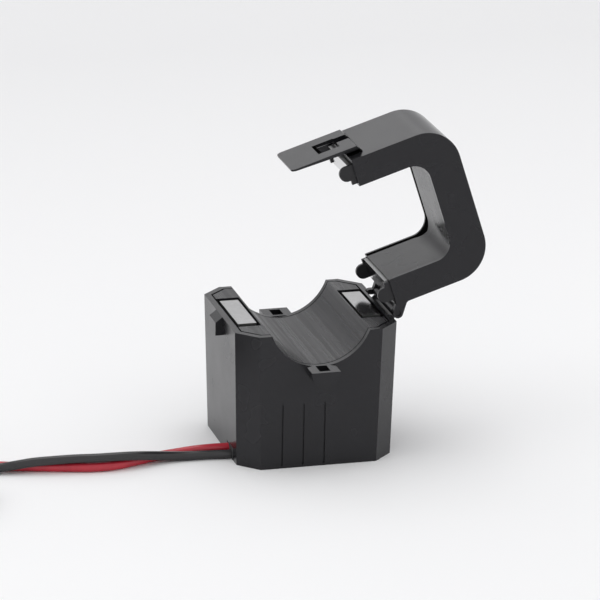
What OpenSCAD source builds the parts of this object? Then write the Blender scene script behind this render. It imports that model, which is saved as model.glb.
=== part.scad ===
// Split-core current transformer: an open clamp with a hinged lid, a snap latch and two leads.
// Origin: centre of the case's underside. +X points to the hinge, -Y to the front, +Z up.

/* [Core] */
// Thickness of the wound steel strip
core_t = 4.9; // [4:0.1:5.4]
// Depth of the core, front to back
core_d = 19.7; // [16:0.1:22]
// Distance between the legs of the core
core_gap = 28.2; // [26:0.1:32]
// Inner corner radius of the core
core_inner_round = 1.2; // [1:0.1:1.6]
// Height of the underside of the lower core above the case's underside
core_z = 10; // [9:0.1:11]
// Height of the lower core's ends above the rim
core_proud = 0.05; // [0:0.01:0.1]
// How far the sprung upper core floats
core_travel = 0.95; // [0.6:0.05:1.4]

/* [Case] */
// Gap between the core's legs and the case
core_side_gap = 0.85; // [0.7:0.05:1.5]
// Depth of the case at its rim, front to back
case_d = 43.5; // [41:0.5:50]
// Height of the case
case_h = 36.3; // [35:0.1:42]
// Size of the cut on each upright corner
case_corner = 5.2; // [3:0.1:7]
// How far each side draws in from the rim to the underside
case_draft = 0.9; // [0.3:0.1:1.2]
// Wall of the case
case_wall = 1.65; // [1.2:0.05:1.9]
// Floor of the case
case_floor = 1.6; // [1.2:0.1:2.4]
// Width of the ledge that carries the inner cover
ledge_w = 0.8; // [0.6:0.1:1.4]
// Width of each decorative groove
groove_w = 0.5; // [0.3:0.1:1]
// Depth of each decorative groove
groove_deep = 0.45; // [0.2:0.05:0.7]
// Length of each decorative groove
groove_len = 16.7; // [8:0.1:20]
// Distance between grooves
groove_step = 5.6; // [3:0.1:7]

/* [Inner cover] */
// Thickness of the cover's top plate
cover_t = 1.6; // [1:0.1:2.4]
// Thickness of the cover's skirt
skirt_t = 1; // [0.8:0.1:1.5]
// Gap between the cover and the case
parting_gap = 0.4; // [0.2:0.05:0.5]
// Wall between the trough's radius and the core's legs
trough_side = 0.3; // [0.2:0.05:0.6]
// Height of the trough's centre above the rim
trough_rise = 4.8; // [4:0.1:7]
// Wall of the trough
trough_wall = 1.2; // [0.8:0.1:1.6]
// Gap in front of and behind the guide lugs in each core window
window_gap = 1.15; // [0.6:0.05:2]

/* [Winding] */
// Wall of the bobbin
bobbin_wall = 0.8; // [0.6:0.1:1]
// Thickness of the bobbin's end flanges
flange_t = 1; // [0.9:0.1:1.4]
// Build of the winding over the bobbin
winding_t = 3.2; // [1.5:0.1:3.4]
// Thickness of the insulating tape round the winding
tape_t = 0.3; // [0.1:0.1:0.4]

/* [Circuit board] */
// Width of the circuit board
board_w = 30; // [28:0.5:31]
// Height of the circuit board
board_h = 18; // [15:0.5:19]
// Thickness of the circuit board
board_t = 1.6; // [1:0.2:1.6]

/* [Lid] */
// Clear height inside the lid, above the end of its arms
lid_clear_h = 18.4; // [14:0.1:24]
// Gap between the core's legs and the lid's skin
lid_side_gap = 0.75; // [0.5:0.05:1.2]
// Room over the upper core for its spring
spring_room = 2.25; // [2:0.05:3]
// Outer corner radius of the lid
lid_round = 9.4; // [7:0.1:10]
// Inner corner radius of the lid
lid_inner_round = 4.8; // [3:0.1:6]
// Outer skin of the lid
lid_skin = 1.2; // [0.8:0.1:1.4]
// Front and back plates of the lid
lid_plate = 0.75; // [0.6:0.05:0.75]
// Gap between the closed lid and the case
lid_gap = 0.15; // [0.1:0.05:0.3]
// How far the lid stands open
open_angle = 72; // [50:1:74]

/* [Liner] */
// Wall of the liner inside the lid
liner_t = 0.5; // [0.4:0.05:0.5]
// Gap between the liner and the lid's plates
liner_gap = 1.2; // [1.1:0.05:1.4]
// Thickness of the guide lugs
lug_t = 0.88; // [0.6:0.02:0.9]
// Radius of the guide lugs
lug_r = 2; // [1.5:0.1:2]
// How far the guide lugs reach below the arms
lug_reach = 4; // [3:0.1:5]
// Height of the cheeks that carry the guide lugs
cheek_h = 8; // [5:0.5:12]
// Thickness of the leaf spring
spring_t = 0.35; // [0.2:0.05:0.4]
// Width of the leaf spring
spring_w = 10; // [6:0.5:16]
// Length of the leaf spring
spring_len = 22; // [14:0.5:24]

/* [Hinge] */
// Distance of the hinge axis from the side of the case
hinge_out = 2.2; // [2:0.1:2.6]
// Diameter of the hinge pin
pin_d = 1.4; // [1:0.1:1.6]
// Running clearance round the pin, on the radius
pin_clear = 0.05; // [0.03:0.01:0.08]
// Outer diameter of the hinge knuckles
knuckle_d = 2.7; // [2.5:0.1:3]
// Thickness of each hinge ear on the lid
ear_t = 1.6; // [1.2:0.1:2]

/* [Latch] */
// Width of the hook
hook_w = 6.6; // [4:0.1:7]
// Height of the hook, with its ramp
hook_h = 4.9; // [3:0.1:5]
// Height of the hook's ramp
hook_ramp = 1.4; // [0.8:0.1:2]
// Width of the latch tongue
tongue_w = 16; // [12:0.5:18]
// Thickness of the latch tongue at its root
tongue_t = 1; // [0.8:0.1:1.3]
// Thickness of the latch tongue at its tip
tongue_tip_t = 0.5; // [0.4:0.05:0.7]
// Gap between the closed tongue and the case
tongue_gap = 0.25; // [0.2:0.05:0.6]
// How far the tongue reaches below the arm
tongue_reach = 14.9; // [10:0.1:18]
// How far the tongue's root runs up the arm
tongue_root = 4.2; // [3.6:0.1:6]
// Clearance round the hook in the tongue's window
window_clear = 0.3; // [0.2:0.05:0.5]

/* [Cable tie bosses] */
// Radius of each boss
boss_r = 3.8; // [3.2:0.1:5]
// How far each boss stands out of the case
boss_out = 5.5; // [5:0.1:8]
// Width of the slot for a cable tie
slot_w = 2.9; // [2:0.1:3.5]
// Length of the slot for a cable tie
slot_len = 4.4; // [3:0.1:4.6]

/* [Leads] */
// Outer diameter of each lead
lead_d = 2.4; // [2:0.1:2.6]
// Diameter of the bare tinned end of each lead
tip_d = 1.3; // [1:0.1:1.6]
// Length of the bare tinned end of each lead
tip_len = 6; // [4:0.5:10]
// Width of the tie on each coil
tie_w = 4; // [3:0.5:6]
// Thickness of the tie on each coil
tie_t = 0.4; // [0.3:0.1:0.8]

/* [Hidden] */
$fn = 64;
eps = 0.01;
fit = 0.1;          // clearance between pieces that slide into each other
past = 5;           // how far a cut runs beyond what it cuts

// Widths that follow from the core
leg_out = core_gap / 2 + core_t;
case_w = 2 * (leg_out + core_side_gap + case_wall);
trough_r = core_gap / 2 - trough_side;
slide_gap = 0.1;    // between the upper core and the liner
cheek_gap = 0.12;   // between the core and the guide lugs
lid_clear_w = core_gap - 2 * (liner_t + slide_gap);
lid_w = 2 * (leg_out + lid_side_gap + lid_skin);

// Case and cover
draft_slope = case_draft / case_h;
draft_angle = atan(draft_slope);
cavity_w = case_w - 2 * case_wall;
cavity_d = case_d - 2 * case_wall;
cavity_corner = case_corner - case_wall * (2 - sqrt(2));
cover_w = cavity_w - 2 * parting_gap;
cover_d = cavity_d - 2 * parting_gap;
trough_z = case_h + trough_rise;
trough_bottom = trough_z - trough_r;
ledge_z = trough_bottom - trough_wall - 1;
groove_x = -9.9;
groove_foot = 0.7;
window_in = core_gap / 2 - 0.75;

// Lower core
core_top = case_h + core_proud;
core_outer_round = core_inner_round + core_t;
core_meet = 0.05;   // between the two cores when the lid is shut
cushion_t = 0.8;

// Winding, from the yoke outwards
yoke_clear = 0.15;
bobbin_len = core_gap - 2 * core_inner_round;
bobbin_in_z = core_t + 2 * yoke_clear;
bobbin_in_d = core_d + 2 * yoke_clear;
bobbin_out_z = bobbin_in_z + 2 * bobbin_wall;
bobbin_out_d = bobbin_in_d + 2 * bobbin_wall;
yoke_mid = core_z + core_t / 2;
winding_len = bobbin_len - 2 * flange_t - 2 * fit;
flange_over = winding_t + tape_t + 0.2;
flange_z = bobbin_out_z + 2 * flange_over;
flange_d = bobbin_out_d + 2 * flange_over;

// Circuit board, upright between the winding and the front wall
board_y = -flange_d / 2 - 0.8;
board_z = 3.6;
terminal_x = bobbin_len / 2 - flange_t / 2;
terminal_r = 0.25;
terminal_in = 1.9;
terminal_out = 0.6;
terminal_z = yoke_mid;
guide_t = 1.4;
part_z = board_z + board_h - 2.4;
part_x = 6;
part_d = 1.3;
resistor_len = 5;
diode_len = 4;
wire_r = 0.25;
wire_bend = 0.6;

// Depths that follow from the core
cheek_in = core_d / 2 + cheek_gap;
cheek_out = cheek_in + lug_t;
plate_in = cheek_out + fit / 2;
lid_d = 2 * (plate_in + lid_plate);
window_d = 2 * (cheek_out + window_gap);

// Hinge
hinge_x = case_w / 2 + hinge_out;
hinge_z = case_h;
knuckle_r = knuckle_d / 2;
bore_r = pin_d / 2 + pin_clear;
ear_out = lid_d / 2 - 1.25;
ear_in = ear_out - ear_t;
barrel_half = ear_in - 0.25;
pocket_x = case_w / 2 - case_wall / 2;
pocket_z = hinge_z - knuckle_d;
heel_w = 1.4;
heel_reach = hinge_x - pocket_x - heel_w / 2 - 0.15;

// Lid, drawn closed and then swung open
arm_z = case_h + lid_gap;
lid_in_top = arm_z + lid_clear_h;
upper_end = core_top + core_meet - core_travel;
upper_in_top = lid_in_top + liner_t + 1.5 * slide_gap;
upper_top = upper_in_top + core_t;
shell_in_top = upper_top + spring_room;
lid_top = shell_in_top + lid_skin;
shell_in_x = lid_w / 2 - lid_skin;
liner_d = 2 * (plate_in - liner_gap);
lug_x = leg_out - lug_r + 0.45;

// Latch, drawn closed
arm_out = -lid_w / 2;
tongue_back = -case_w / 2 - tongue_gap;
tongue_face = tongue_back - tongue_t;
hook_x = tongue_face - 0.6;
tongue_tip = arm_z - tongue_reach;
tongue_top = arm_z + tongue_root;
hook_bottom = case_h - hook_h;
catch_z = hook_bottom - 1.2;
window_top = case_h - 0.2;
window_half = hook_w / 2 + window_clear;
slot_top = tongue_top - 0.6;
peg_r = 0.8;
peg_y = tongue_w / 2 - 2.6;
peg_z = arm_z + tongue_root / 2;
peg_len = 0.9;

// Cable tie bosses
boss_top = trough_bottom + 0.2;
boss_z = boss_top - 0.4;

// Leads: hand-laid centre lines on the floor, then a coil of each beyond them
lead_r = lead_d / 2;
seal_face = -case_w / 2 + case_draft + 2;
seal_len = 5.4;
seal_h = 3.4;
seal_y = [-12, -5.6];
notch_clear = 0.1;
tail_r = 0.4;
tail_end = 0.4;
tail_z = board_z + 1.2;
tail_x = [4 - board_w / 2, 6.4 - board_w / 2];
tail_y = [-10.3, -7.1];
black_route = [[seal_face, -10.3, 1.3], [-22, -10.2, 1.2], [-25, -9.8, 1.2], [-29, -9.5, 1.2],
    [-34, -9.4, 1.4], [-39, -9.8, 2], [-43, -10.8, 2.7], [-47, -11.8, 3.3], [-52, -12.4, 3.65],
    [-57, -12.2, 3.65], [-62, -11.6, 3.65], [-68, -10.8, 3.4], [-73, -9.9, 3], [-77, -9.3, 2.4],
    [-81, -8.5, 1.7], [-86, -8.1, 1.2], [-93, -8, 1.3], [-100.2, -8, 1.5]];
red_route = [[seal_face, -7.1, 1.9], [-22, -7, 1.9], [-25, -6.9, 1.9], [-29, -6.8, 1.8],
    [-34, -6.8, 1.4], [-39, -7.5, 1.2], [-43, -8.9, 1.2], [-47, -10.5, 1.2], [-52, -12.1, 1.2],
    [-57, -12.3, 1.2], [-62, -11.3, 1.2], [-68, -9.7, 1.2], [-73, -8.3, 1.2], [-77, -7.1, 1.2],
    [-81, -5.8, 1.2], [-86, -5.3, 1.2], [-93, -5.2, 1.3], [-100.2, -5.2, 1.5]];
coil_mid_r = 12.4;
coil_half = 8;
coil_h = 4.8;
coil_in = coil_mid_r - coil_half;
tie_slack = coil_in - sqrt(coil_in * coil_in - tie_w * tie_w / 4) + 0.1;
coil_x = -110;
black_coil_y = -27.2;
red_coil_y = 14;
black_tail = [[-129.2, -37.2, 1.4], [-129.2, -39.4, 1.2], [-129.2, -41.6, 1.2]];
red_tail = [[-129.2, 24, 1.4], [-129.2, 26.2, 1.2], [-129.2, 28.4, 1.2]];

// ---------- shared shapes ----------

// A ring of points round a centre line's point, square to its direction
function unit(v) = v / norm(v);
function heading(p, i) = unit(p[min(i + 1, len(p) - 1)] - p[max(i - 1, 0)]);
function side(t) = unit(cross([0, 0, 1], t));
function ring(c, t, r, n) = let (s = side(t), u = cross(t, s))
    [for (k = [0 : n - 1]) c + r * (cos(360 * k / n) * s + sin(360 * k / n) * u)];

// A round tube along a list of points
module tube(route, r, n = 8) {
    last = len(route) - 1;
    rings = [for (i = [0 : last]) each ring(route[i], heading(route, i), r, n)];
    sides = [for (i = [0 : last - 1], k = [0 : n - 1])
        [i * n + k, i * n + (k + 1) % n, (i + 1) * n + (k + 1) % n, (i + 1) * n + k]];
    near_end = [[for (k = [n - 1 : -1 : 0]) k]];
    far_end = [[for (k = [0 : n - 1]) last * n + k]];
    polyhedron(points = rings, faces = concat(near_end, sides, far_end), convexity = 4);
}

// A slab whose section in XZ is the children's XY shape, from y = a to y = b
module along_y(a, b) {
    translate([0, b, 0]) rotate([90, 0, 0]) linear_extrude(height = b - a, convexity = 6) children();
}

// A slab whose section in YZ is the children's XY shape, from x = a to x = b
module along_x(a, b) {
    translate([a, 0, 0]) rotate([90, 0, 90]) linear_extrude(height = b - a, convexity = 6) children();
}

// A box given by its low and high corners
module box(low, high) {
    translate(low) cube(high - low);
}

// Upright trapezoid, w wide at the rim, that draws in by slope * height towards the underside
module drafted_side(w, slope, z0, z1) {
    half = w / 2;
    lean0 = slope * (case_h - z0);
    lean1 = slope * (case_h - z1);
    polygon([[-half + lean0, z0], [half - lean0, z0], [half - lean1, z1], [-half + lean1, z1]]);
}

// Block with four cut corners and drafted sides, w by d at the rim
module drafted_block(w, d, corner, z0, z1) {
    across = (w + d - 2 * corner) / sqrt(2);
    intersection() {
        along_y(-d, d) drafted_side(w, draft_slope, z0, z1);
        along_x(-w, w) drafted_side(d, draft_slope, z0, z1);
        rotate([0, 0, 45]) along_x(-w, w) drafted_side(across, draft_slope * sqrt(2), z0, z1);
        rotate([0, 0, -45]) along_x(-w, w) drafted_side(across, draft_slope * sqrt(2), z0, z1);
    }
}

// Section of an arch: w wide, from z0 to z1, with round top corners
module arch(w, z0, z1, r) {
    translate([-w / 2, z0]) square([w, z1 - z0 - r]);
    translate([-w / 2 + r, z0]) square([w - 2 * r, z1 - z0]);
    for (s = [-1, 1]) translate([s * (w / 2 - r), z1 - r]) circle(r = r);
}

// Rectangle with four round corners, w wide and h high, standing on the X axis
module round_box(w, h, r) {
    translate([-w / 2, r]) square([w, h - 2 * r]);
    translate([-w / 2 + r, 0]) square([w - 2 * r, h]);
    for (s = [-1, 1], z = [r, h - r]) translate([s * (w / 2 - r), z]) circle(r = r);
}

// Section of a straight link with round ends
module link(p, q, w) {
    away = q - p;
    translate(p) rotate(atan2(away[1], away[0])) translate([0, -w / 2]) square([norm(away), w]);
    for (end = [p, q]) translate(end) circle(d = w);
}

// The trough's round, along Y
module trough_round(r, half_len) {
    translate([0, 0, trough_z]) rotate([90, 0, 0]) cylinder(r = r, h = 2 * half_len, center = true);
}

// Swings the children, drawn closed, to the lid's open position
module opened() {
    translate([hinge_x, 0, hinge_z]) rotate([0, open_angle, 0]) translate([-hinge_x, 0, -hinge_z])
        children();
}

// ---------- case ----------

// Half-round boss with a slot for a cable tie, in front of the case
module tie_boss() {
    y_out = -case_d / 2 - boss_out;
    y_wall = -case_d / 2 + case_wall / 2 + draft_slope * (case_h - boss_z);
    slot_y = -case_d / 2 + 0.15;
    difference() {
        along_y(y_out, y_wall) difference() {
            union() {
                translate([0, boss_z]) circle(r = boss_r);
                translate([-boss_r, boss_z]) square([2 * boss_r, boss_top - boss_z]);
            }
            translate([-2 * boss_r, boss_top]) square([4 * boss_r, 2 * boss_r]);
        }
        box([-slot_w / 2, slot_y - slot_len, boss_z - 2 * boss_r], [slot_w / 2, slot_y, boss_top + past]);
    }
}

// Three upright grooves in the front, as deep at the foot as at the top
module grooves() {
    for (k = [0 : 2]) translate([groove_x + k * groove_step, -case_d / 2, case_h])
        rotate([draft_angle, 0, 0]) translate([-groove_w / 2, -past, -case_h + groove_foot])
            cube([groove_w, past + groove_deep, groove_len]);
}

// Hook that the latch tongue snaps over
module latch_hook() {
    wall_x = -case_w / 2;
    root_x = wall_x + case_wall / 2;
    along_y(-hook_w / 2, hook_w / 2) polygon([
        [root_x, hook_bottom], [hook_x, hook_bottom], [hook_x, case_h - hook_ramp],
        [wall_x, case_h], [root_x, case_h]]);
}

// Barrel that the hinge pin turns in, on a gusset beside the pocket
module hinge_barrel() {
    along_y(-barrel_half, barrel_half) {
        translate([hinge_x, hinge_z]) circle(r = knuckle_r);
        polygon([[pocket_x, pocket_z - 3], [hinge_x, hinge_z - knuckle_r * 0.8],
            [hinge_x - knuckle_r * 0.8, hinge_z - knuckle_r * 0.5], [pocket_x, pocket_z]]);
    }
}

// Two upright channels that hold the circuit board's edges
module board_guides() {
    y_wall = -cavity_d / 2 + ledge_w - fit;
    y_in = board_y + 0.8;
    for (s = [-1, 1]) difference() {
        translate([s * (board_w / 2 + guide_t / 2 - 0.6) - guide_t / 2, y_wall, case_floor - fit])
            cube([guide_t, y_in - y_wall, board_z + board_h - 2]);
        box([-board_w / 2 - fit, board_y - board_t - fit, board_z - fit],
            [board_w / 2 + fit, board_y + fit, case_h]);
    }
}

// Section of a block under the core's corner, hollowed to radius r about the corner's centre
module corner_block(r) {
    corner = [leg_out - core_outer_round, core_z + core_outer_round];
    difference() {
        translate([bobbin_len / 2 + 0.3, case_floor - fit])
            square([leg_out - bobbin_len / 2 - 1.5, core_z - case_floor + core_outer_round / 2]);
        translate(corner) circle(r = r);
    }
}

// Cradles on the floor that carry the core's rounded corners, clear of the lead entry
module core_cradles() {
    for (s = [0, 1]) mirror([s, 0, 0]) along_y(0.8, core_d / 2)
        corner_block(core_outer_round + cushion_t);
}

module base_case() {
    color("#2e2e30") difference() {
        union() {
            difference() {
                drafted_block(case_w, case_d, case_corner, 0, case_h);
                drafted_block(cavity_w, cavity_d, cavity_corner, ledge_z, case_h + past);
                drafted_block(cavity_w, cavity_d - 2 * ledge_w, cavity_corner, case_floor, ledge_z + fit);
                grooves();
                trough_round(trough_r, case_d);
                box([pocket_x, -ear_out - 0.5, pocket_z], [case_w, ear_out + 0.5, case_h + past]);
            }
            for (turn = [0, 180]) rotate([0, 0, turn]) tie_boss();
            latch_hook();
            hinge_barrel();
            core_cradles();
            intersection() {
                board_guides();
                drafted_block(case_w - case_wall, case_d - case_wall, case_corner, 0, case_h);
            }
        }
        translate([hinge_x, 0, hinge_z]) rotate([90, 0, 0])
            cylinder(r = bore_r, h = case_d, center = true);
        box([-case_w, seal_y[0] - notch_clear, -past],
            [seal_face + seal_len + notch_clear, seal_y[1] + notch_clear, seal_h + notch_clear]);
    }
}

// ---------- inner cover ----------

module base_cover() {
    skirt_z = ledge_z + 0.05;
    color("#353537") difference() {
        union() {
            difference() {
                drafted_block(cover_w, cover_d, cavity_corner, skirt_z, case_h);
                drafted_block(cover_w - 2 * skirt_t, cover_d - 2 * skirt_t, cavity_corner,
                    skirt_z - past, case_h - cover_t);
            }
            intersection() {
                drafted_block(cover_w, cover_d, cavity_corner, skirt_z, case_h);
                trough_round(trough_r + trough_wall, case_d);
            }
        }
        trough_round(trough_r, case_d);
        for (s = [-1, 1]) translate([s * (window_in + case_w / 2), 0, case_h])
            cube([case_w, window_d, 2 * case_h], center = true);
    }
}

// ---------- core and winding ----------

// U of wound steel strip, its ends at z_end and its bend on the far side
module steel_u(z_end, z_in, z_bend, inner_r) {
    up = z_bend > z_end;
    h_out = abs(z_bend - z_end);
    h_in = abs(z_in - z_end);
    translate([0, 0, z_end]) mirror([0, 0, up ? 0 : 1]) along_y(-core_d / 2, core_d / 2) difference() {
        arch(2 * leg_out, 0, h_out, core_outer_round);
        translate([0, -past]) arch(core_gap, 0, h_in + past, inner_r);
    }
}

module lower_core() {
    color("silver") steel_u(core_top, core_z + core_t, core_z, core_inner_round);
}

// Foam strips between the cradles and the core's rounded corners
module core_cushions() {
    color("dimgray") for (s = [0, 1]) mirror([s, 0, 0]) along_y(1.2, core_d / 2 - 0.4)
        intersection() {
            corner_block(core_outer_round);
            translate([leg_out - core_outer_round, core_z + core_outer_round])
                circle(r = core_outer_round + cushion_t);
        }
}

// A box-shaped sleeve round the yoke, from x = a to x = b
module sleeve(a, b, out_d, out_z, in_d, in_z, r) {
    translate([0, 0, yoke_mid]) along_x(a, b) difference() {
        translate([0, -out_z / 2]) round_box(out_d, out_z, r);
        square([in_d, in_z], center = true);
    }
}

module bobbin() {
    half = bobbin_len / 2;
    color("#e8e4d8") difference() {
        union() {
            sleeve(-half, half, bobbin_out_d, bobbin_out_z, bobbin_in_d, bobbin_in_z, 0.5);
            for (s = [-1, 1]) sleeve(s < 0 ? -half : half - flange_t, s < 0 ? -half + flange_t : half,
                flange_d, flange_z, bobbin_in_d, bobbin_in_z, 1);
        }
        for (s = [-1, 1]) translate([s * terminal_x, -flange_d / 2 + terminal_in + fit, terminal_z])
            rotate([90, 0, 0]) cylinder(r = terminal_r + pin_clear / 2, h = terminal_in + past);
    }
}

module winding() {
    color("#b8602c") sleeve(-winding_len / 2, winding_len / 2, bobbin_out_d + 2 * winding_t,
        bobbin_out_z + 2 * winding_t, bobbin_out_d, bobbin_out_z, 1.6);
}

module winding_tape() {
    half = winding_len / 2 - 0.2;
    in_d = bobbin_out_d + 2 * winding_t;
    in_z = bobbin_out_z + 2 * winding_t;
    color("#e0c840") translate([0, 0, yoke_mid]) along_x(-half, half) difference() {
        translate([0, -in_z / 2 - tape_t]) round_box(in_d + 2 * tape_t, in_z + 2 * tape_t, 1.6 + tape_t);
        translate([0, -in_z / 2]) round_box(in_d, in_z, 1.6);
    }
}

// ---------- circuit board ----------

module circuit_board() {
    color("#1f6b3a") difference() {
        box([-board_w / 2, board_y - board_t, board_z], [board_w / 2, board_y, board_z + board_h]);
        for (s = [-1, 1]) translate([s * terminal_x, board_y + past, terminal_z]) rotate([90, 0, 0])
            cylinder(r = terminal_r + 0.1, h = board_t + 2 * past);
        for (y = tail_x) translate([y, board_y + past, tail_z]) rotate([90, 0, 0])
            cylinder(r = tail_r + 0.05, h = board_t + 2 * past);
    }
}

// A small axial part lying against the board, with its two wires bent to it
module axial_part(x, body_len) {
    y = board_y + part_d / 2 + 0.05;
    reach = body_len / 2 + wire_bend;
    translate([x, y, part_z]) rotate([0, 90, 0]) {
        cylinder(d = part_d, h = body_len, center = true);
        cylinder(r = wire_r, h = 2 * reach, center = true);
    }
    for (s = [-1, 1]) translate([x + s * reach, y, part_z]) {
        sphere(r = wire_r);
        rotate([90, 0, 0]) cylinder(r = wire_r, h = y - board_y);
    }
}

module burden_resistor() {
    color("#4a78b0") axial_part(-part_x, resistor_len);
}

module suppressor_diode() {
    color("#303030") axial_part(part_x, diode_len);
}

module terminal_pins() {
    y_in = -flange_d / 2 + terminal_in;
    y_out = board_y - board_t - terminal_out;
    color("silver") for (s = [-1, 1]) translate([s * terminal_x, y_in, terminal_z])
        rotate([90, 0, 0]) cylinder(r = terminal_r, h = y_in - y_out);
}

// ---------- lead entry ----------

module lead_seal() {
    color("#1c1c1e") box([seal_face, seal_y[0], 0], [seal_face + seal_len, seal_y[1], seal_h]);
}

// A tinned conductor from the seal to the circuit board
module lead_tail(x, y) {
    start = seal_face + seal_len;
    rise = seal_h - 1;
    translate([start, y, rise]) rotate([0, 90, 0]) cylinder(r = tail_r, h = x - start);
    translate([x, y, rise]) sphere(r = tail_r);
    translate([x, y, rise]) cylinder(r = tail_r, h = tail_z - rise);
    translate([x, y, tail_z]) sphere(r = tail_r);
    translate([x, y, tail_z]) rotate([90, 0, 0]) 
        cylinder(r = tail_r, h = y - board_y + board_t + tail_end);
}

module lead_tails() {
    color("silver") for (k = [0, 1]) lead_tail(tail_x[k], tail_y[k]);
}

// ---------- hinge ----------

module hinge_pin() {
    color("#202022") translate([hinge_x, 0, hinge_z]) rotate([90, 0, 0])
        cylinder(d = pin_d, h = 2 * (ear_out - 0.3), center = true);
}

// Ear on the lid's arm that turns about the pin
module hinge_ear(y0, y1) {
    root = [lid_w / 2 - knuckle_r * 0.6, arm_z + knuckle_r];
    along_y(y0, y1) {
        link([hinge_x, hinge_z], root + [0, 1], knuckle_d);
        translate([lid_w / 2 - lid_skin / 2, arm_z]) square([knuckle_r, 2 * knuckle_r]);
    }
}

// Heel on the rear ear that meets the case when the lid stands open
module stop_heel() {
    down = [-cos(open_angle), -sin(open_angle)];
    pivot = [hinge_x, hinge_z];
    along_y(ear_in, ear_out) link(pivot, pivot + heel_reach * down, heel_w);
}

// ---------- lid ----------

module lid_shell() {
    flare = 0.75;
    color("#2e2e30") opened() difference() {
        union() {
            difference() {
                along_y(-lid_d / 2, lid_d / 2) difference() {
                    arch(lid_w, arm_z, lid_top, lid_round);
                    translate([0, -past]) arch(lid_clear_w, arm_z, lid_in_top + past, lid_inner_round);
                }
                along_y(-plate_in, plate_in) translate([0, -past])
                    arch(2 * shell_in_x, arm_z, shell_in_top + past, lid_round - lid_skin);
            }
            along_y(-lid_d / 2, lid_d / 2) polygon([[lid_w / 2 - lid_skin / 2, arm_z + 3.2],
                [lid_w / 2, arm_z + 3.2], [lid_w / 2 + flare, arm_z + 1.7],
                [lid_w / 2 + flare, arm_z + 1], [lid_w / 2, arm_z + 0.6],
                [lid_w / 2 - lid_skin / 2, arm_z + 0.6]]);
            difference() {
                union() {
                    hinge_ear(ear_in, ear_out);
                    hinge_ear(-ear_out, -ear_in);
                    stop_heel();
                }
                box([-case_w, -case_d, -case_h], [lid_w / 2 - lid_skin / 2, case_d, 2 * lid_top]);
            }
        }
        translate([hinge_x, 0, hinge_z]) rotate([90, 0, 0])
            cylinder(r = bore_r, h = case_d, center = true);
        for (s = [-1, 1]) translate([arm_out - past, s * peg_y, peg_z])
            rotate([0, 90, 0]) cylinder(r = peg_r + 0.05, h = past + peg_len + 0.05);
    }
}

module lid_liner() {
    cheek_x = lid_clear_w / 2 + 1.2;
    bridge_h = 1.4;
    color("#48484a") opened() {
        along_y(-liner_d / 2, liner_d / 2) difference() {
            arch(lid_clear_w + 2 * liner_t, arm_z, lid_in_top + liner_t, lid_inner_round + liner_t);
            translate([0, -past]) arch(lid_clear_w, arm_z, lid_in_top + past, lid_inner_round);
        }
        for (x_side = [0, 1], y_side = [0, 1]) mirror([x_side, 0, 0]) mirror([0, y_side, 0]) {
            along_y(cheek_in, cheek_out) {
                translate([cheek_x, arm_z]) square([lug_x + lug_r - cheek_x, cheek_h]);
                translate([lug_x - lug_r, arm_z - lug_reach + lug_r]) square([2 * lug_r, lug_reach]);
                translate([lug_x, arm_z - lug_reach + lug_r]) circle(r = lug_r);
                translate([lid_clear_w / 2 + 0.7, arm_z - 1.5]) square([1.5, 2]);
                translate([lid_clear_w / 2, arm_z]) square([cheek_x - lid_clear_w / 2 + fit, bridge_h]);
            }
            box([lid_clear_w / 2, liner_d / 2 - fit, arm_z],
                [lid_clear_w / 2 + liner_t, cheek_out, arm_z + bridge_h]);
        }
    }
}

module upper_core() {
    color("silver") opened() steel_u(upper_end, upper_in_top, upper_top, core_inner_round);
}

// Arched leaf that pushes the upper core out of the lid
module core_spring() {
    rise = spring_room - spring_t - slide_gap;
    half = spring_len / 2;
    r = (half * half + rise * rise) / (2 * rise);
    top = shell_in_top - fit / 2;
    color("#c8b060") opened() along_y(-spring_w / 2, spring_w / 2) intersection() {
        translate([0, top - r]) difference() {
            circle(r = r, $fn = 180);
            circle(r = r - spring_t, $fn = 180);
        }
        translate([-half, upper_top + eps]) square([spring_len, spring_room]);
    }
}

// ---------- latch ----------

module latch_tongue() {
    tip_round = 1.4;
    ramp_h = 1.2;
    color("#2e2e30") opened() difference() {
        union() {
            intersection() {
                along_y(-tongue_w / 2, tongue_w / 2) polygon([[tongue_face, tongue_tip],
                    [tongue_face + tongue_tip_t, tongue_tip], [tongue_back, arm_z + 0.3], [arm_out, arm_z + 0.3],
                    [arm_out, tongue_top], [arm_out - 0.2, tongue_top], [tongue_face, tongue_top - ramp_h]]);
                along_x(tongue_face - past, arm_out) mirror([0, 1]) translate([0, -tongue_top])
                    arch(tongue_w, 0, tongue_top - tongue_tip, tip_round);
            }
            for (s = [-1, 1]) translate([arm_out - eps, s * peg_y, peg_z])
                rotate([0, 90, 0]) cylinder(r = peg_r, h = peg_len);
        }
        tongue_openings();
    }
}

// The window for the hook, the slot above it and the undercuts beside the root
module tongue_openings() {
    slot = [-0.3, 3.2];
    relief_w = slot[1] - slot[0];
    undercut = 1.4;
    box([tongue_face - past, -window_half, catch_z], [arm_out + past, window_half, window_top]);
    along_x(tongue_face - past, arm_out - eps) translate([slot[0] + relief_w / 2, 0])
        arch(relief_w, window_top - eps, slot_top, relief_w / 3);
    for (s = [0, 1]) mirror([0, s, 0]) box([tongue_back, tongue_w / 2 - undercut, arm_z],
        [arm_out + past, tongue_w, slot_top]);
}

// ---------- leads ----------

// Ring that the turns of a coiled lead fill
module coil_solid(y) {
    translate([coil_x, y, tie_t]) rotate_extrude($fn = 48) translate([coil_mid_r, 0])
        round_box(2 * coil_half, coil_h, lead_r);
}

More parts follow.
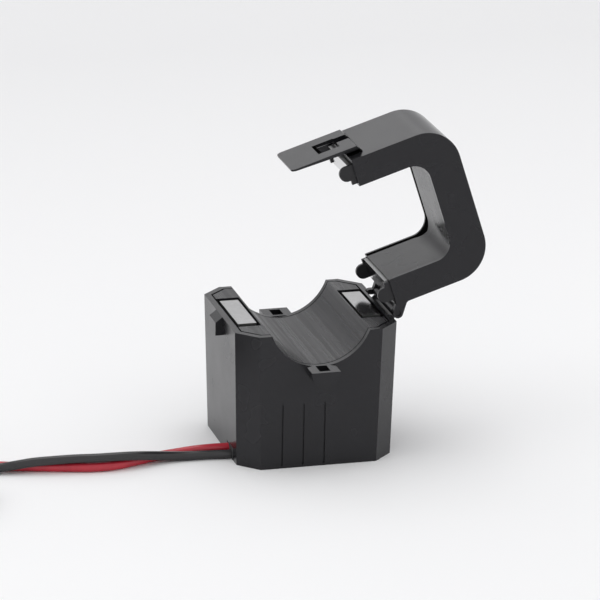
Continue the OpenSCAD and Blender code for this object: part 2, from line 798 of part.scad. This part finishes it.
// Band round the coil's turns, on the side towards the object
module coil_tie(y) {
    translate([coil_x + coil_mid_r, y, 0]) rotate([90, 0, 0]) translate([0, 0, -tie_w / 2])
        linear_extrude(height = tie_w) difference() {
            round_box(2 * (coil_half + tie_slack + tie_t), coil_h + 2 * tie_t, lead_r + tie_t);
            translate([0, tie_t]) round_box(2 * (coil_half + tie_slack), coil_h, lead_r);
        }
}

// Bare tinned end beyond the last point of a tail
module lead_tip(tail) {
    last = len(tail) - 1;
    away = tail[last] - tail[last - 1];
    translate(tail[last]) rotate([0, 90, atan2(away[1], away[0])]) cylinder(d = tip_d, h = tip_len);
}

module red_lead() {
    color("#b8202c") {
        tube(red_route, lead_r);
        tube(red_tail, lead_r);
    }
}

module black_lead() {
    color("#202022") {
        tube(black_route, lead_r);
        tube(black_tail, lead_r);
    }
}

module red_coil() { color("#b8202c") coil_solid(red_coil_y); }
module black_coil() { color("#202022") coil_solid(black_coil_y); }
module red_coil_tie() { color("#303032") coil_tie(red_coil_y); }
module black_coil_tie() { color("#303032") coil_tie(black_coil_y); }
module red_lead_tip() { color("silver") lead_tip(red_tail); }
module black_lead_tip() { color("silver") lead_tip(black_tail); }

base_case();
base_cover();
lower_core();
core_cushions();
bobbin();
winding();
winding_tape();
circuit_board();
burden_resistor();
suppressor_diode();
terminal_pins();
lead_seal();
lead_tails();
hinge_pin();
lid_shell();
lid_liner();
upper_core();
core_spring();
latch_tongue();
red_lead();
black_lead();
red_coil();
black_coil();
red_coil_tie();
black_coil_tie();
red_lead_tip();
black_lead_tip();
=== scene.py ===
"""Split-core current transformer with its lid open: materials, leads, light and camera."""
from math import cos, radians, sin

import bmesh
import bpy
from mathutils import Matrix, Vector


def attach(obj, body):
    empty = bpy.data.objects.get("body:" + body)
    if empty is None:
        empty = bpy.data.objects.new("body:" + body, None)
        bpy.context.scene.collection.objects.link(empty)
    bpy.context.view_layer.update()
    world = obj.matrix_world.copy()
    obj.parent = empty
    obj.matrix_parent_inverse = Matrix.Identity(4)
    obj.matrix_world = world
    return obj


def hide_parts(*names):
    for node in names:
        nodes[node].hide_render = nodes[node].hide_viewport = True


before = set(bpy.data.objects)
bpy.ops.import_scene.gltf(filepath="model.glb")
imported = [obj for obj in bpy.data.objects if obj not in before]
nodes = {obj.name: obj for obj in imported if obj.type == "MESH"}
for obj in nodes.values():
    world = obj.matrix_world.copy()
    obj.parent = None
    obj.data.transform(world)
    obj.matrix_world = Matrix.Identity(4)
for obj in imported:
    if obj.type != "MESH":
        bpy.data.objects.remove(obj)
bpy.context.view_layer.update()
MM = 0.001


# ---------- camera ----------

CAMERA_AZIMUTH = radians(-15.12)
CAMERA_ELEVATION = radians(17.88)
CAMERA_ROLL = radians(0.72)
CAMERA_DISTANCE = 1109.19 * MM
CAMERA_TARGET = Vector((0, 0, 25)) * MM
CAMERA_SLIDE = Vector((0.24, 12.74)) * MM
CAMERA_LENS = 254.9


def add_camera():
    """A long lens in front of the object, a little to the left and above."""
    back = Vector((sin(CAMERA_AZIMUTH) * cos(CAMERA_ELEVATION),
                   -cos(CAMERA_AZIMUTH) * cos(CAMERA_ELEVATION),
                   sin(CAMERA_ELEVATION)))
    level = Vector((cos(CAMERA_AZIMUTH), sin(CAMERA_AZIMUTH), 0))
    upright = back.cross(level)
    right = level * cos(CAMERA_ROLL) + upright * sin(CAMERA_ROLL)
    up = upright * cos(CAMERA_ROLL) - level * sin(CAMERA_ROLL)
    slide = right * CAMERA_SLIDE.x + up * CAMERA_SLIDE.y
    place = CAMERA_TARGET + back * CAMERA_DISTANCE + slide
    data = bpy.data.cameras.new("camera")
    data.lens = CAMERA_LENS
    data.sensor_width = 36
    data.clip_start = 0.05
    data.clip_end = 20
    camera = bpy.data.objects.new("camera", data)
    turn = Matrix((right, up, back)).transposed().to_4x4()
    camera.matrix_world = Matrix.Translation(place) @ turn
    bpy.context.scene.collection.objects.link(camera)
    bpy.context.scene.camera = camera


# ---------- leads ----------

LEAD_D = 2.4
LEAD_R = LEAD_D / 2
SEAL_FACE = -18.6
COIL_X = -110
COIL_BASE = 0.4
COIL_R_OUT = 19.2
COIL_R_IN = 5.6
COIL_TURNS = 5.625
COIL_POINTS_PER_TURN = 24

LEADS = {
    "black": {
        "route": [(SEAL_FACE, -10.3, 1.3), (-22, -10.2, 1.2), (-25, -9.8, 1.2), (-29, -9.5, 1.2),
                  (-34, -9.4, 1.4), (-39, -9.8, 2), (-43, -10.8, 2.7), (-47, -11.8, 3.3),
                  (-52, -12.4, 3.65), (-57, -12.2, 3.65), (-62, -11.6, 3.65), (-68, -10.8, 3.4),
                  (-73, -9.9, 3), (-77, -9.3, 2.4), (-81, -8.5, 1.7), (-86, -8.1, 1.2),
                  (-93, -8, 1.3), (-100.2, -8, 1.5)],
        "coil_y": -27.2, "turn": 1,
        "tail": [(-129.2, -31, 3.1), (-129.2, -34, 2), (-129.2, -37.2, 1.4),
                 (-129.2, -39.4, 1.2), (-129.2, -41.6, 1.2)]},
    "red": {
        "route": [(SEAL_FACE, -7.1, 1.9), (-22, -7, 1.9), (-25, -6.9, 1.9), (-29, -6.8, 1.8),
                  (-34, -6.8, 1.4), (-39, -7.5, 1.2), (-43, -8.9, 1.2), (-47, -10.5, 1.2),
                  (-52, -12.1, 1.2), (-57, -12.3, 1.2), (-62, -11.3, 1.2), (-68, -9.7, 1.2),
                  (-73, -8.3, 1.2), (-77, -7.1, 1.2), (-81, -5.8, 1.2), (-86, -5.3, 1.2),
                  (-93, -5.2, 1.3), (-100.2, -5.2, 1.5)],
        "coil_y": 14, "turn": -1,
        "tail": [(-129.2, 17.8, 3.1), (-129.2, 20.8, 2), (-129.2, 24, 1.4),
                 (-129.2, 26.2, 1.2), (-129.2, 28.4, 1.2)]},
}


def coil_turns(centre_y, turn):
    """Two flat layers: in from the outer turn on the lower one, out again on the upper one."""
    steps = round(COIL_TURNS * COIL_POINTS_PER_TURN)
    points = []
    for i in range(2 * steps + 1):
        done = i / steps
        angle = radians(90 + 360 * COIL_TURNS * done)
        radius = COIL_R_IN + (COIL_R_OUT - COIL_R_IN) * abs(1 - done)
        climb = min(1, max(0, (done - 1) * COIL_TURNS * 1.6 + 0.5))
        height = COIL_BASE + LEAD_R + LEAD_D * climb * climb * (3 - 2 * climb)
        points.append((COIL_X + radius * cos(angle),
                       centre_y + turn * radius * sin(angle), height))
    return points


def lead_points(lead):
    """A lead's whole centre line, in metres: its route, its coil and its tail."""
    turns = coil_turns(lead["coil_y"], lead["turn"])
    return [Vector(p) * MM for p in lead["route"] + turns + lead["tail"]]


def add_lead(name):
    """One lead as a smooth curve from the seal to its tinned tip."""
    points = lead_points(LEADS[name])
    data = bpy.data.curves.new(name + "_wire", "CURVE")
    data.dimensions = "3D"
    # The depth is multiplied by each point's radius, and the curve's bounds take that radius
    # in, so the points carry the scale
    data.bevel_depth = LEAD_R
    data.bevel_resolution = 5
    data.resolution_u = 4
    data.use_fill_caps = True
    spline = data.splines.new("BEZIER")
    spline.bezier_points.add(len(points) - 1)
    for bezier, point in zip(spline.bezier_points, points):
        bezier.co = point
        bezier.radius = MM
        bezier.handle_left_type = bezier.handle_right_type = "AUTO"
    wire = bpy.data.objects.new(name + "_wire", data)
    bpy.context.scene.collection.objects.link(wire)
    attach(wire, "base")
    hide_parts(name + "_lead", name + "_coil")
    return wire


# ---------- small pieces ----------

HINGE = Vector((23.7, 0, 36.3))
OPEN_ANGLE = radians(72)

# The pieces below are placed as on the shut lid, in mm, and then turned open with it
LID_FOOT = 36.5
LINER_OUTER = (14, 55.35, 5.3)  # half width, top and corner radius of the arch
LIP_INNER = (13.51, 54.86, 4.81)
LIP_EDGES = (-10.88, -9.7)
# The matt black strip along the liner's rear edge is painted shade, where the liner meets the
# rear plate; it is widest in one corner.
SHADE_INNER = (13.47, 54.82, 4.77)
SHADE_FRONT, SHADE_BACK = 9.35, 10.88
SHADE_CORNER = 17  # the point of the arch in the middle of its hinge-side corner
SHADE_CORNER_REACH = 5
SHADE_CORNER_EXTRA = 2.2

# Name: lowest corner, highest corner, look, material slot
# The matt black blocks here are painted shade: thin dark sheets laid where the latch's window,
# slot and pockets lie in shadow.
LID_BLOCKS = {
    "latch_window_shade": ((-22.4, -3.7, 30), (-21.8, 3.7, 31.25), "painted_shade_black", "latch_plastic"),
    "latch_slot_shade": ((-21.02, -1.2, 36.5), (-20.9, 3.6, 40.3), "painted_shade_black", "latch_plastic"),
    "latch_front_shade": ((-21.02, -8.6, 36.5), (-20.9, -6.2, 40.3), "painted_shade_black",
                           "latch_plastic"),
    "latch_rear_shade": ((-21.02, 6.2, 36.5), (-20.9, 8.6, 40.3), "painted_shade_black",
                          "latch_plastic"),
    "lug_corner": ((-19.43, 9.99, 32.47), (-17.45, 10.83, 34.5), "liner_grey", "liner_plastic"),
}


def opened(point):
    """Where a point of the shut lid lies when the lid stands open."""
    return Matrix.Rotation(OPEN_ANGLE, 3, "Y") @ (Vector(point) - HINGE) + HINGE


def add_mesh(name, mesh):
    """Turns a finished bmesh into an object in the scene."""
    data = bpy.data.meshes.new(name)
    mesh.to_mesh(data)
    mesh.free()
    obj = bpy.data.objects.new(name, data)
    bpy.context.scene.collection.objects.link(obj)
    return obj


def add_block(name, low, high, body, place=Vector):
    """A box between two corners, carried by a body; place moves its corners."""
    mesh = bmesh.new()
    bmesh.ops.create_cube(mesh, size=1)
    for vertex in mesh.verts:
        corner = [b if c > 0 else a for a, b, c in zip(low, high, vertex.co)]
        vertex.co = place(corner) * MM
    block = add_mesh(name, mesh)
    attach(block, body)
    return block


def add_seal():
    """The seal round the leads, moulded flush with the side of the case."""
    seal = add_block("seal_block", (-20.69, -12.09, 0.02), (-13.2, -5.51, 3.54), "base")
    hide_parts("lead_seal")
    return seal


def arch_line(half_width, top, radius):
    """Points (x, z) along an arch, from the foot of its left leg to the foot of its right one."""
    corner = [(radius * cos(radians(a)), radius * sin(radians(a))) for a in range(0, 91, 9)]
    right = [(half_width - radius + x, top - radius + z) for x, z in corner]
    left = [(-x, z) for x, z in right]
    return [(-half_width, LID_FOOT)] + left + right[::-1] + [(half_width, LID_FOOT)]


def add_band(name, inner, outer, edges):
    """A strip round the lid's opening; edges holds its two y values at each point."""
    mesh = bmesh.new()
    rings = []
    for (xi, zi), (xo, zo), (y0, y1) in zip(inner, outer, edges):
        corners = ((xi, y0, zi), (xi, y1, zi), (xo, y1, zo), (xo, y0, zo))
        rings.append([mesh.verts.new(opened(corner) * MM) for corner in corners])
    for first, second in zip(rings, rings[1:]):
        for i in range(4):
            j = (i + 1) % 4
            mesh.faces.new((first[i], first[j], second[j], second[i]))
    mesh.faces.new(rings[0][::-1])
    mesh.faces.new(rings[-1])
    bmesh.ops.recalc_face_normals(mesh, faces=mesh.faces)
    band = add_mesh(name, mesh)
    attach(band, "lid")
    return band


def strip_edge(i):
    """The y values of the strip of painted shade at point i of the arch; it is widest in one
    corner, where the painted shade is deepest.
    """
    near = max(0, 1 - abs(i - SHADE_CORNER) / SHADE_CORNER_REACH)
    return SHADE_FRONT - SHADE_CORNER_EXTRA * near, SHADE_BACK


def add_lid_trim():
    """The liner's lip, a strip of painted shade along its rear edge and the small blocks of the
    lid, each with its look; the black blocks are painted shade too.
    """
    outer = arch_line(*LINER_OUTER)
    lip = add_band("liner_lip", arch_line(*LIP_INNER), outer, [LIP_EDGES] * len(outer))
    gap = add_band("liner_gap", arch_line(*SHADE_INNER), outer,
                   [strip_edge(i) for i in range(len(outer))])
    trim = {lip: "liner_grey", gap: "painted_shade_black"}
    for name, (low, high, look, slot) in LID_BLOCKS.items():
        block = add_block(name, low, high, "lid", opened)
        trim[block] = look
    return trim


add_camera()
wires = {name: add_lead(name) for name in LEADS}
seal = add_seal()
lid_trim = add_lid_trim()


# ---------- materials ----------

# The colour sockets of a Mix node, which has one set for each kind of data
COLOUR_A, COLOUR_B, COLOUR_RESULT = 6, 7, 2


def new_material(name):
    """A new material, with its node tree and its shader."""
    material = bpy.data.materials.new(name)
    material.use_nodes = True
    tree = material.node_tree
    shader = tree.nodes["Principled BSDF"]
    return material, tree, shader


def object_coordinates(tree):
    return tree.nodes.new("ShaderNodeTexCoord").outputs["Object"]


def noise(tree, vector, scale, detail=3.0, roughness=0.5):
    node = tree.nodes.new("ShaderNodeTexNoise")
    node.inputs["Scale"].default_value = scale
    node.inputs["Detail"].default_value = detail
    node.inputs["Roughness"].default_value = roughness
    tree.links.new(vector, node.inputs["Vector"])
    return node.outputs["Fac"]


def remap(tree, value, low, high, out_low, out_high):
    node = tree.nodes.new("ShaderNodeMapRange")
    node.inputs["From Min"].default_value = low
    node.inputs["From Max"].default_value = high
    node.inputs["To Min"].default_value = out_low
    node.inputs["To Max"].default_value = out_high
    tree.links.new(value, node.inputs["Value"])
    return node.outputs["Result"]


def blend_colours(tree, factor, first, second):
    """Mixes two colours, each either three numbers or another node's output."""
    node = tree.nodes.new("ShaderNodeMix")
    node.data_type = "RGBA"
    tree.links.new(factor, node.inputs["Factor"])
    for socket, colour in ((COLOUR_A, first), (COLOUR_B, second)):
        if isinstance(colour, tuple):
            node.inputs[socket].default_value = (*colour, 1)
        else:
            tree.links.new(colour, node.inputs[socket])
    return node.outputs[COLOUR_RESULT]


def bump(tree, shader, height, strength, distance):
    """Bumps the shader's surface; a height of 1 stands distance metres high."""
    node = tree.nodes.new("ShaderNodeBump")
    node.inputs["Strength"].default_value = strength
    node.inputs["Distance"].default_value = distance
    tree.links.new(height, node.inputs["Height"])
    tree.links.new(node.outputs["Normal"], shader.inputs["Normal"])


# A faint blue in the sheen of moulded plastic
COOL_TINT = (0.975, 0.965, 1.0, 1)


def moulded_plastic(name, colour, roughness, grain=0.25, spread=0.06, shine=0.36):
    """Moulded plastic: fine spark grain, slight cloudiness and a soft sheen."""
    material, tree, shader = new_material(name)
    shader.inputs["Specular IOR Level"].default_value = shine
    shader.inputs["Specular Tint"].default_value = COOL_TINT
    place = object_coordinates(tree)
    cloud = noise(tree, place, 90, 2)
    fine = noise(tree, place, 3800, 2, 0.6)
    darker = tuple(c * 0.86 for c in colour)
    tree.links.new(blend_colours(tree, remap(tree, cloud, 0.3, 0.7, 0, 1), darker, colour),
                   shader.inputs["Base Color"])
    tree.links.new(remap(tree, cloud, 0.3, 0.7, roughness - spread / 2, roughness + spread / 2),
                   shader.inputs["Roughness"])
    bump(tree, shader, fine, grain, 0.00002)
    return material


def drawn_plastic(name, colour, roughness):
    """Moulded plastic with faint flow lines from front to back."""
    material = moulded_plastic(name, colour, roughness)
    tree = material.node_tree
    stretch = tree.nodes.new("ShaderNodeMapping")
    stretch.inputs["Scale"].default_value = (900, 12, 900)
    tree.links.new(object_coordinates(tree), stretch.inputs["Vector"])
    lines = noise(tree, stretch.outputs["Vector"], 1, 2, 0.6)
    tree.links.new(remap(tree, lines, 0.35, 0.65, roughness - 0.07, roughness + 0.09),
                   tree.nodes["Principled BSDF"].inputs["Roughness"])
    return material


def ground_steel(name, end_direction):
    """Wound strip steel: its ends face end_direction and are ground bright, its sides dull."""
    material, tree, shader = new_material(name)
    place = object_coordinates(tree)
    mottle = noise(tree, place, 700, 3)
    facing = tree.nodes.new("ShaderNodeVectorMath")
    facing.operation = "DOT_PRODUCT"
    facing.inputs[1].default_value = end_direction
    tree.links.new(tree.nodes.new("ShaderNodeTexCoord").outputs["Normal"], facing.inputs[0])
    ground = remap(tree, facing.outputs["Value"], 0.8, 0.95, 0, 1)
    polish = blend_colours(tree, remap(tree, mottle, 0.3, 0.7, 0, 1),
                           (0.51, 0.51, 0.51), (0.57, 0.57, 0.57))
    tree.links.new(blend_colours(tree, ground, (0.30, 0.30, 0.30), polish),
                   shader.inputs["Base Color"])
    tree.links.new(remap(tree, ground, 0, 1, 0.4, 0.11), shader.inputs["Roughness"])
    shader.inputs["Metallic"].default_value = 1
    bump(tree, shader, mottle, 0.06, 0.00002)
    return material


def smooth_skin(name, colour, roughness):
    """Extruded or dipped insulation: smooth, with a slow waviness."""
    material, tree, shader = new_material(name)
    place = object_coordinates(tree)
    wave = noise(tree, place, 260, 2)
    darker = tuple(c * 0.82 for c in colour)
    tree.links.new(blend_colours(tree, remap(tree, wave, 0.3, 0.7, 0, 1), darker, colour),
                   shader.inputs["Base Color"])
    tree.links.new(remap(tree, wave, 0.3, 0.7, roughness - 0.04, roughness + 0.04),
                   shader.inputs["Roughness"])
    bump(tree, shader, wave, 0.1, 0.0001)
    return material


def bright_metal(name, colour, roughness):
    """Tinned wire or spring strip: bright, with drawn marks."""
    material, tree, shader = new_material(name)
    place = object_coordinates(tree)
    marks = noise(tree, place, 1500, 3)
    darker = tuple(c * 0.8 for c in colour)
    tree.links.new(blend_colours(tree, remap(tree, marks, 0.3, 0.7, 0, 1), darker, colour),
                   shader.inputs["Base Color"])
    tree.links.new(remap(tree, marks, 0.3, 0.7, roughness - 0.06, roughness + 0.06),
                   shader.inputs["Roughness"])
    shader.inputs["Metallic"].default_value = 1
    return material


def wound_wire():
    """Enamelled copper: one fine ridge per turn along the bobbin, with painted shade darkening
    the colour between the turns.
    """
    material, tree, shader = new_material("wound_wire")
    place = object_coordinates(tree)
    wave = tree.nodes.new("ShaderNodeTexWave")
    wave.wave_type = "BANDS"
    wave.bands_direction = "X"
    wave.inputs["Scale"].default_value = 700
    wave.inputs["Distortion"].default_value = 0.4
    tree.links.new(place, wave.inputs["Vector"])
    turns = wave.outputs["Fac"]
    # Dark between the turns, copper on their crowns: painted shade in the grooves.
    tree.links.new(blend_colours(tree, turns, (0.22, 0.07, 0.02), (0.62, 0.24, 0.09)),
                   shader.inputs["Base Color"])
    shader.inputs["Roughness"].default_value = 0.3
    bump(tree, shader, turns, 0.5, 0.0001)
    return material


LOOKS = {
    "case_black": moulded_plastic("case_black", (0.012, 0.012, 0.0135), 0.25),
    "cover_black": drawn_plastic("cover_black", (0.016, 0.016, 0.018), 0.29),
    "lid_black": moulded_plastic("lid_black", (0.010, 0.010, 0.0115), 0.18),
    "liner_grey": moulded_plastic("liner_grey", (0.014, 0.014, 0.015), 0.27, 0.1),
    "latch_black": moulded_plastic("latch_black", (0.009, 0.009, 0.0105), 0.2),
    "pin_black": moulded_plastic("pin_black", (0.012, 0.012, 0.013), 0.45),
    "seal_black": moulded_plastic("seal_black", (0.010, 0.010, 0.010), 0.7),
    "seal_grey": moulded_plastic("seal_grey", (0.05, 0.05, 0.052), 0.6),
    # Matt black with no sheen: the colour of painted shade, for dark sheets laid in shadowed
    # slots and strips.
    "painted_shade_black": moulded_plastic("painted_shade_black", (0.003, 0.003, 0.003), 0.9, shine=0),
    "foam_grey": moulded_plastic("foam_grey", (0.09, 0.09, 0.09), 0.9, 0.8),
    "nylon": moulded_plastic("nylon", (0.72, 0.69, 0.60), 0.45),
    "tape_yellow": smooth_skin("tape_yellow", (0.75, 0.55, 0.06), 0.3),
    "board_green": smooth_skin("board_green", (0.02, 0.16, 0.06), 0.35),
    "resistor_blue": smooth_skin("resistor_blue", (0.10, 0.25, 0.45), 0.3),
    "diode_black": smooth_skin("diode_black", (0.02, 0.02, 0.02), 0.35),
    "tie_black": smooth_skin("tie_black", (0.02, 0.02, 0.02), 0.4),
    "lower_steel": ground_steel("lower_steel", (0, 0, 1)),
    "upper_steel": ground_steel("upper_steel", (-sin(OPEN_ANGLE), 0, -cos(OPEN_ANGLE))),
    "tinned": bright_metal("tinned", (0.78, 0.78, 0.77), 0.3),
    "bronze": bright_metal("bronze", (0.72, 0.50, 0.24), 0.3),
    "wound_wire": wound_wire(),
    "red_sheath": smooth_skin("red_sheath", (0.52, 0.025, 0.045), 0.2),
    "black_sheath": smooth_skin("black_sheath", (0.025, 0.024, 0.026), 0.17),
}

NODE_LOOKS = {
    "base_case": "case_black", "base_cover": "cover_black", "lower_core": "lower_steel",
    "core_cushions": "foam_grey", "bobbin": "nylon", "winding": "wound_wire",
    "winding_tape": "tape_yellow", "circuit_board": "board_green",
    "burden_resistor": "resistor_blue", "suppressor_diode": "diode_black",
    "terminal_pins": "tinned", "lead_seal": "seal_black", "lead_tails": "tinned",
    "hinge_pin": "pin_black", "lid_shell": "lid_black", "lid_liner": "liner_grey",
    "upper_core": "upper_steel", "core_spring": "bronze", "latch_tongue": "latch_black",
    "red_lead": "red_sheath", "black_lead": "black_sheath", "red_coil": "red_sheath",
    "black_coil": "black_sheath", "red_coil_tie": "tie_black", "black_coil_tie": "tie_black",
    "red_lead_tip": "tinned", "black_lead_tip": "tinned",
}


def dress(obj, look):
    """Gives an object one of the looks in place of its own materials."""
    obj.data.materials.clear()
    obj.data.materials.append(LOOKS[look])


for node_name, look in NODE_LOOKS.items():
    dress(nodes[node_name], look)
for name, wire in wires.items():
    dress(wire, name + "_sheath")
dress(seal, "seal_grey")
for piece, look in lid_trim.items():
    dress(piece, look)


# ---------- floor and light ----------

# The floor's colour as it lights the object, and as it is seen near the object and far behind it
FLOOR_COLOUR = (0.80, 0.80, 0.81)
FLOOR_SEEN = (0.95, 0.95, 0.96)
# Far behind the object the seen colour is painted shade, darker as the light falls off.
FAR_SEEN = (0.82, 0.82, 0.83)
FADE_START, FADE_END = 0.05, 0.4  # y, in metres

FLOOR_FRONT = -3.0
FLOOR_BACK = 1.6
FLOOR_SIDE = 4.0
BEND_RADIUS = 1.2
BEND_STEPS = 12
WALL_TOP = 4.0

WORLD_LIGHT = 0.82
WORLD_SEEN = 0.9

# Name: place, target, size in metres, power in watts
LAMPS = {
    "key": ((0.2, 0.35, 1.6), (0, 0, 0.03), (1.0, 1.0), 4.5),
    "back": ((-0.1, 1.5, 0.95), (0, 0, 0.05), (1.8, 0.7), 2.2),
    "fill": ((-1.2, -0.2, 0.9), (0, 0, 0.03), (1.0, 0.8), 2),
}


def seen_directly(tree):
    """1 for a ray from the camera or a reflection, 0 for light that is scattered on."""
    path = tree.nodes.new("ShaderNodeLightPath")
    total = path.outputs["Is Camera Ray"]
    for kind in ("Is Glossy Ray", "Is Transmission Ray"):
        either = tree.nodes.new("ShaderNodeMath")
        either.operation = "MAXIMUM"
        tree.links.new(total, either.inputs[0])
        tree.links.new(path.outputs[kind], either.inputs[1])
        total = either.outputs["Value"]
    return total


def floor_profile():
    """Points (y, z) along the floor, its bend and the wall behind."""
    profile = [(FLOOR_FRONT, 0), (FLOOR_BACK, 0)]
    for i in range(1, BEND_STEPS + 1):
        a = radians(90 * i / BEND_STEPS)
        profile.append((FLOOR_BACK + BEND_RADIUS * sin(a), BEND_RADIUS * (1 - cos(a))))
    profile.append((FLOOR_BACK + BEND_RADIUS, WALL_TOP))
    return profile


def floor_material():
    """Pale and matt; seen directly, it darkens a little with its distance behind the object, as
    painted shade.
    """
    material, tree, shader = new_material("floor_white")
    split = tree.nodes.new("ShaderNodeSeparateXYZ")
    tree.links.new(object_coordinates(tree), split.inputs["Vector"])
    fade = remap(tree, split.outputs["Y"], FADE_START, FADE_END, 0, 1)
    seen = blend_colours(tree, fade, FLOOR_SEEN, FAR_SEEN)
    tree.links.new(blend_colours(tree, seen_directly(tree), FLOOR_COLOUR, seen),
                   shader.inputs["Base Color"])
    shader.inputs["Roughness"].default_value = 0.85
    shader.inputs["Specular IOR Level"].default_value = 0.2
    return material


def add_floor():
    """A plain pale sweep: flat under the object, curving up a long way behind it."""
    mesh = bmesh.new()
    rows = [[mesh.verts.new((x, y, z)) for x in (-FLOOR_SIDE, FLOOR_SIDE)]
            for y, z in floor_profile()]
    for low, high in zip(rows, rows[1:]):
        mesh.faces.new((low[0], low[1], high[1], high[0])).smooth = True
    floor = add_mesh("floor", mesh)
    floor.data.materials.append(floor_material())


def add_area(name, place, target, size, power):
    """A rectangular lamp at place that points at target."""
    data = bpy.data.lights.new(name, "AREA")
    data.shape = "RECTANGLE"
    data.size, data.size_y = size
    data.energy = power
    lamp = bpy.data.objects.new(name, data)
    lamp.location = place
    toward = Vector(target) - Vector(place)
    lamp.rotation_euler = toward.to_track_quat("-Z", "Y").to_euler()
    bpy.context.scene.collection.objects.link(lamp)


def add_world():
    """Even white surroundings, as seen and as reflected; a little dimmer as light."""
    world = bpy.data.worlds.new("studio")
    bpy.context.scene.world = world
    world.use_nodes = True
    tree = world.node_tree
    background = tree.nodes["Background"]
    background.inputs["Color"].default_value = (1, 1, 1, 1)
    tree.links.new(remap(tree, seen_directly(tree), 0, 1, WORLD_LIGHT, WORLD_SEEN),
                   background.inputs["Strength"])


add_floor()
for lamp_name, lamp in LAMPS.items():
    add_area(lamp_name, *lamp)
add_world()
bpy.context.scene.view_settings.view_transform = "Standard"

bpy.context.view_layer.update()
